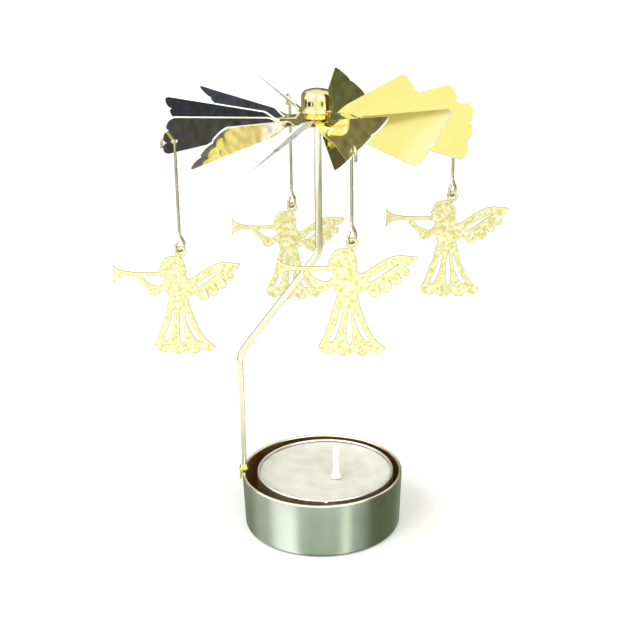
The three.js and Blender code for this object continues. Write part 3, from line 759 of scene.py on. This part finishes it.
# The figures' cut sides and rounded edges are painted a dark olive: painted shade that draws a thin dark
# outline round each figure.
outline_shade = metal(
    "outline_shade", ((0.30, 0.27, 0.12), (0.44, 0.40, 0.20)), (0.4, 0.6), (1700, 1700, 1700), 8e-6, metallic=0.4
)


def figure_spot(share):
    """A point of the figure in metres from its eye, from shares of its width and height."""
    return Vector(((share[0] - eye_share) * figure_width, share[1] * figure_height))


def add_stretch(knots, spots):
    """Adds a smooth stretch between two corners. A knot is a point with the handles before and after it."""
    last = len(spots) - 1
    pulls = [(spots[min(i + 1, last)] - spots[max(i - 1, 0)]) / 6 for i in range(last + 1)]
    knots[-1][2] = spots[0] + pulls[0]
    for spot, pull in zip(spots[1:], pulls[1:]):
        knots.append([spot, spot - pull, spot + pull])


def add_circle(knots, radius, start, end, steps):
    """Adds an arc about the eye, between two angles in degrees."""
    part = math.radians(end - start) / steps
    pull = radius * 4 / 3 * math.tan(part / 4)
    for i in range(steps + 1):
        turn = math.radians(start) + part * i
        spot = Vector((math.cos(turn), math.sin(turn))) * radius
        side = Vector((-math.sin(turn), math.cos(turn))) * pull
        if i == 0 and knots:
            knots[-1][2] = spot + side
        else:
            knots.append([spot, spot - side, spot + side])


def draw_loop(curve, knots):
    """Adds a closed loop to a flat curve."""
    loop = curve.splines.new("BEZIER")
    loop.bezier_points.add(len(knots) - 1)
    loop.use_cyclic_u = True
    for point, (spot, before, after) in zip(loop.bezier_points, knots):
        point.handle_left_type = point.handle_right_type = "FREE"
        point.co, point.handle_left, point.handle_right = spot.to_3d(), before.to_3d(), after.to_3d()


drawing = bpy.data.curves.new("figure", "CURVE")
drawing.dimensions = "2D"
drawing.fill_mode = "BOTH"
drawing.resolution_u = 5
drawing.bevel_depth = edge_round
drawing.bevel_resolution = 1
drawing.offset = -edge_round
drawing.extrude = figure_sheet / 2 - edge_round - bite

spots = [[figure_spot(share) for share in stretch] for stretch in outline_shares]
ring_start = Vector((math.cos(math.radians(neck_turn)), math.sin(math.radians(neck_turn)))) * eye_radius
spots[0][0] = ring_start
ring_end = Vector((-math.sqrt(eye_radius**2 - spots[-1][-1].y ** 2), spots[-1][-1].y))
outline = [[ring_start, ring_start, ring_start]]
for stretch in spots:
    add_stretch(outline, stretch)
add_stretch(outline, [spots[-1][-1], ring_end])
add_circle(outline, eye_radius, math.degrees(math.atan2(ring_end.y, ring_end.x)) + 360, neck_turn, 10)
outline[0][1] = outline[-1][1]
draw_loop(drawing, outline[:-1])
for stretch in cutout_shares:
    first = figure_spot(stretch[0])
    window = [[first, first, first]]
    add_stretch(window, [figure_spot(share) for share in stretch] + [first])
    window[0][1] = window[-1][1]
    draw_loop(drawing, window[:-1])
eye = []
add_circle(eye, eye_hole, 0, 360, 6)
draw_loop(drawing, eye[:-1])

field_drawing = drawing.copy()
field_drawing.offset = -border
field_drawing.bevel_depth = 0.0
field_drawing.extrude = figure_sheet / 2
knots = field_drawing.splines[0].bezier_points
for number, pull in sharp_knots.items():
    blunted = ((knots[number - 1].co + knots[number + 1].co) / 2 - knots[number].co).normalized() * pull
    knots[number].handle_left += blunted
    knots[number].handle_right += blunted
    knots[number].co += blunted


def cut_sheet(curve):
    """Makes a flat drawing a sheet that stands upright, facing the front."""
    mesh = curve_mesh(curve)
    mesh.transform(Matrix.Rotation(math.pi / 2, 4, "X"))
    return mesh


blank, field = cut_sheet(drawing), cut_sheet(field_drawing)
golds = [edge_gold, etched_gold, outline_shade]
for name, place in hanger_places.items():
    figure_shape = bmesh.new()
    figure_shape.from_mesh(blank)
    bmesh.ops.remove_doubles(figure_shape, verts=figure_shape.verts, dist=merge_reach)
    figure_shape.normal_update()
    border_faces = set(figure_shape.faces)
    for face in border_faces:
        # Flat faces keep the plain border; the sides and rounded edges take the painted outline shade.
        face.material_index = 0 if abs(face.normal.y) > flat_share else 2
    figure_shape.from_mesh(field)
    bitten = [face for face in figure_shape.faces if face not in border_faces]
    for face in bitten:
        face.material_index = 1
    field_verts = list({vert for face in bitten for vert in face.verts})
    bmesh.ops.remove_doubles(figure_shape, verts=field_verts, dist=merge_reach)
    bmesh.ops.recalc_face_normals(figure_shape, faces=figure_shape.faces)
    bmesh.ops.translate(figure_shape, verts=figure_shape.verts, vec=(place.x, place.y, eye_levels[name]))
    pendant = make_piece("pendant_" + name + "_angel", figure_shape, golds, sharp=30)
    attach(pendant, "pendant_" + name)
    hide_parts("pendant_" + name)


# Floor, light and camera. A plain pale floor, and a soft studio: a white ceiling, windows in front, and
# darker cards low down and behind, which the polished brass mirrors. The camera itself sees plain white.

floor_radius = 6.0
camera_place, camera_dip, camera_roll, camera_lens = (0, -0.3091, 0.17204), 19.95, -0.78, 69.154
lamp_target = Vector((0, 0, 0.07))

floor_shape = bmesh.new()
bmesh.ops.create_circle(floor_shape, cap_ends=True, radius=floor_radius, segments=64)
floor_paint = bpy.data.materials.new("floor_paint")
floor_paint.use_nodes = True
paint = floor_paint.node_tree.nodes["Principled BSDF"]
paint.inputs["Base Color"].default_value = (0.9, 0.9, 0.89, 1)
paint.inputs["Roughness"].default_value = 0.9
floor = make_piece("floor", floor_shape, [floor_paint])
floor.visible_glossy = False

studio = bpy.data.worlds.new("studio")
bpy.context.scene.world = studio
studio.use_nodes = True
sky, sky_links = studio.node_tree.nodes, studio.node_tree.links
backdrop = sky["Background"]
backdrop.inputs["Strength"].default_value = 1.2
direction = sky.new("ShaderNodeTexCoord")
axes = sky.new("ShaderNodeSeparateXYZ")
sky_links.new(direction.outputs["Generated"], axes.inputs["Vector"])


def sky_math(kind, first, second=None, third=None):
    """One step of arithmetic on directions of the studio."""
    step = sky.new("ShaderNodeMath")
    step.operation = kind
    for socket, value in zip(step.inputs, (first, second, third)):
        if isinstance(value, (int, float)):
            socket.default_value = value
        elif value is not None:
            sky_links.new(value, socket)
    return step.outputs["Value"]


def sky_band(value, low, high, soft):
    """1 between two values, falling to 0 over a soft edge outside them."""
    rise = sky.new("ShaderNodeMapRange")
    rise.interpolation_type = "SMOOTHSTEP"
    rise.inputs["From Min"].default_value = low - soft
    rise.inputs["From Max"].default_value = low
    fall = sky.new("ShaderNodeMapRange")
    fall.interpolation_type = "SMOOTHSTEP"
    fall.inputs["From Min"].default_value = high
    fall.inputs["From Max"].default_value = high + soft
    fall.inputs["To Min"].default_value = 1.0
    fall.inputs["To Max"].default_value = 0.0
    sky_links.new(value, rise.inputs["Value"])
    sky_links.new(value, fall.inputs["Value"])
    return sky_math("MULTIPLY", rise.outputs["Result"], fall.outputs["Result"])


def sky_paint(under, colour, mask):
    """Lays one colour over the studio where a mask is 1."""
    lay = sky.new("ShaderNodeMix")
    lay.data_type = "RGBA"
    lay.inputs["B"].default_value = (*colour, 1)
    sky_links.new(mask, lay.inputs["Factor"])
    sky_links.new(under, lay.inputs["A"])
    return lay.outputs["Result"]


level = axes.outputs["Z"]
height = sky_math("MULTIPLY_ADD", level, 0.5, 0.5)
toward = sky_math("MULTIPLY", axes.outputs["Y"], -1.0)
around = sky_math("MULTIPLY", sky_math("ARCTAN2", axes.outputs["X"], toward), math.degrees(1))
layers = sky.new("ShaderNodeValToRGB")
sky_links.new(height, layers.inputs["Fac"])
ramp = layers.color_ramp
ramp.elements[0].position = 0.0
ramp.elements[0].color = (0.30, 0.32, 0.27, 1)
ramp.elements[1].position = 1.0
ramp.elements[1].color = (0.86, 0.86, 0.80, 1)
for place, colour in (
    (0.30, (0.36, 0.39, 0.29)),
    (0.40, (0.15, 0.15, 0.11)),
    (0.60, (0.17, 0.155, 0.12)),
    (0.70, (0.32, 0.31, 0.27)),
    (0.80, (0.85, 0.84, 0.78)),
):
    ramp.elements.new(place).color = (*colour, 1)
ragged = noise_node(sky, 210.0, 3.0)
sky_links.new(direction.outputs["Generated"], ragged.inputs["Vector"])
tear, steepness, slant = 0.005, 20.0, 0.0079
front, low_down, contrast, darkening = (-112, 112, 8), (-0.95, 0.4, 0.03), 2.4, -0.2
torn = sky_math("MULTIPLY_ADD", ragged.outputs["Fac"], tear, sky_math("SUBTRACT", level, tear / 2))
steep = sky_math("MULTIPLY_ADD", level, steepness, around)
aslant = sky_math("MULTIPLY_ADD", around, slant, level)
painted = layers.outputs["Color"]
# A card has its two sides, in degrees round from the front, the height that it is measured by, its lower
# and upper edge in that height, and its colour. A third number is a soft edge's width. Later ones lie on top.
for side, value, rise, colour in (
    # Low down at both sides and behind
    ((-128, -80, 14), level, (-0.82, -0.35, 0.06), (0.70, 0.72, 0.62)),
    ((72, 128, 14), level, (-0.82, -0.35, 0.06), (0.20, 0.20, 0.11)),
    ((-175, -128, 10), level, (-1.1, -0.80, 0.05), (0.033, 0.037, 0.115)),
    ((-175, -136, 8), level, (-0.72, -0.52, 0.05), (0.050, 0.058, 0.15)),
    ((140, 181, 10), level, (-1.1, -0.80, 0.05), (0.058, 0.060, 0.135)),
    ((140, 172, 8), torn, (-0.78, -0.6585, 0.001), (0.135, 0.150, 0.26)),
    ((138, 154, 3), level, (-0.70, -0.58, 0.03), (0.092, 0.082, 0.19)),
    ((157, 168, 1), torn, (-0.6585, -0.6355, 0.001), (0.70, 0.61, 0.42)),
    ((157, 168, 1), level, (-0.6355, -0.55, 0.003), (0.87, 0.92, 1.6)),
    # Straight behind, and behind and above
    ((171, 190, 3), level, (-0.36, -0.08, 0.04), (0.47, 0.47, 0.50)),
    ((-190, -172, 3), level, (-0.36, -0.08, 0.04), (0.30, 0.30, 0.34)),
    ((125, 170, 12), level, (0.2, 0.45, 0.1), (0.105, 0.115, 0.085)),
    ((-175, -140, 8), level, (0.15, 0.36, 0.08), (0.185, 0.160, 0.120)),
    # The broad window in front, and a warm slip low in it
    ((-70, 50, 22), level, (-0.5, 0.35, 0.15), (0.86, 0.87, 0.84)),
    ((-18, 18, 10), level, (-0.44, -0.345, 0.03), (0.95, 0.89, 0.58)),
    # Two low windows, with a dark bar over each
    ((-76, -44, 7), level, (-0.9, -0.34, 0.05), (2.5, 2.3, 2.4)),
    ((33, 39, 3), level, (-0.9, -0.34, 0.05), (2.6, 2.7, 2.2)),
    ((-91, -30, 5), level, (-0.34, -0.16, 0.02), (0.05, 0.05, 0.05)),
    ((14, 56, 4), level, (-0.34, -0.16, 0.02), (0.05, 0.05, 0.05)),
    # Two high windows, brighter at the top
    ((-100, -30, 6), level, (-0.12, 0.6, 0.03), (1.0, 1.0, 1.05)),
    ((4, 54, 5), level, (-0.12, 0.6, 0.03), (1.0, 1.0, 1.05)),
    ((-100, -30, 6), level, (0.60, 0.87, 0.03), (2.4, 2.4, 2.4)),
    ((4, 54, 5), level, (0.60, 0.87, 0.03), (2.4, 2.4, 2.4)),
    # Dark sides
    ((-132, -112, 4), level, (-0.28, 0.60, 0.05), (0.10, 0.10, 0.07)),
    ((70, 96, 4), level, (-0.28, 0.72, 0.05), (0.07, 0.06, 0.03)),
    # Two slips behind on the left, cut aslant
    ((-130, -120, 0.5), aslant, (-0.2291, -0.15, 0.003), (0.87, 0.91, 1.2)),
    ((-130, -120, 0.5), steep, (-140, -111.24, 0.25), (0.47, 0.42, 0.28)),
):
    mask = sky_math("MULTIPLY", sky_band(around, *side), sky_band(value, *rise))
    painted = sky_paint(painted, colour, mask)
# Behind, below and a little above the horizon, the studio is mottled by the same ragged noise
blotches = sky.new("ShaderNodeMix")
blotches.data_type = "RGBA"
blotches.blend_type = "MULTIPLY"
behind = sky_math("SUBTRACT", 1.0, sky_band(around, *front))
sky_links.new(sky_math("MULTIPLY", sky_band(level, *low_down), behind), blotches.inputs["Factor"])
sky_links.new(painted, blotches.inputs["A"])
sky_links.new(sky_math("MULTIPLY_ADD", ragged.outputs["Fac"], contrast, darkening), blotches.inputs["B"])
plain = sky.new("ShaderNodeMix")
plain.data_type = "RGBA"
plain.inputs["B"].default_value = (1, 1, 1, 1)
sky_links.new(sky.new("ShaderNodeLightPath").outputs["Is Camera Ray"], plain.inputs["Factor"])
sky_links.new(blotches.outputs["Result"], plain.inputs["A"])
sky_links.new(plain.outputs["Result"], backdrop.inputs["Color"])

for name, spot, size, power in (
    ("key", (-0.35, -0.45, 0.55), 0.35, 1.2),
    ("fill", (0.30, -0.42, 0.45), 0.3, 0.6),
):
    lamp = bpy.data.lights.new(name, "AREA")
    lamp.size = size
    lamp.energy = power
    lit = bpy.data.objects.new(name, lamp)
    lit.location = spot
    lit.rotation_euler = (lamp_target - Vector(spot)).to_track_quat("-Z", "Y").to_euler()
    bpy.context.scene.collection.objects.link(lit)

lens = bpy.data.cameras.new("camera")
lens.sensor_width, lens.lens = 36.0, camera_lens
lens.clip_start, lens.clip_end = 0.01, 50.0
camera = bpy.data.objects.new("camera", lens)
bpy.context.scene.collection.objects.link(camera)
camera.matrix_world = (
    Matrix.Translation(camera_place)
    @ Matrix.Rotation(math.radians(90 - camera_dip), 4, "X")
    @ Matrix.Rotation(math.radians(camera_roll), 4, "Z")
)
bpy.context.scene.camera = camera
bpy.context.scene.view_settings.view_transform = "Standard"
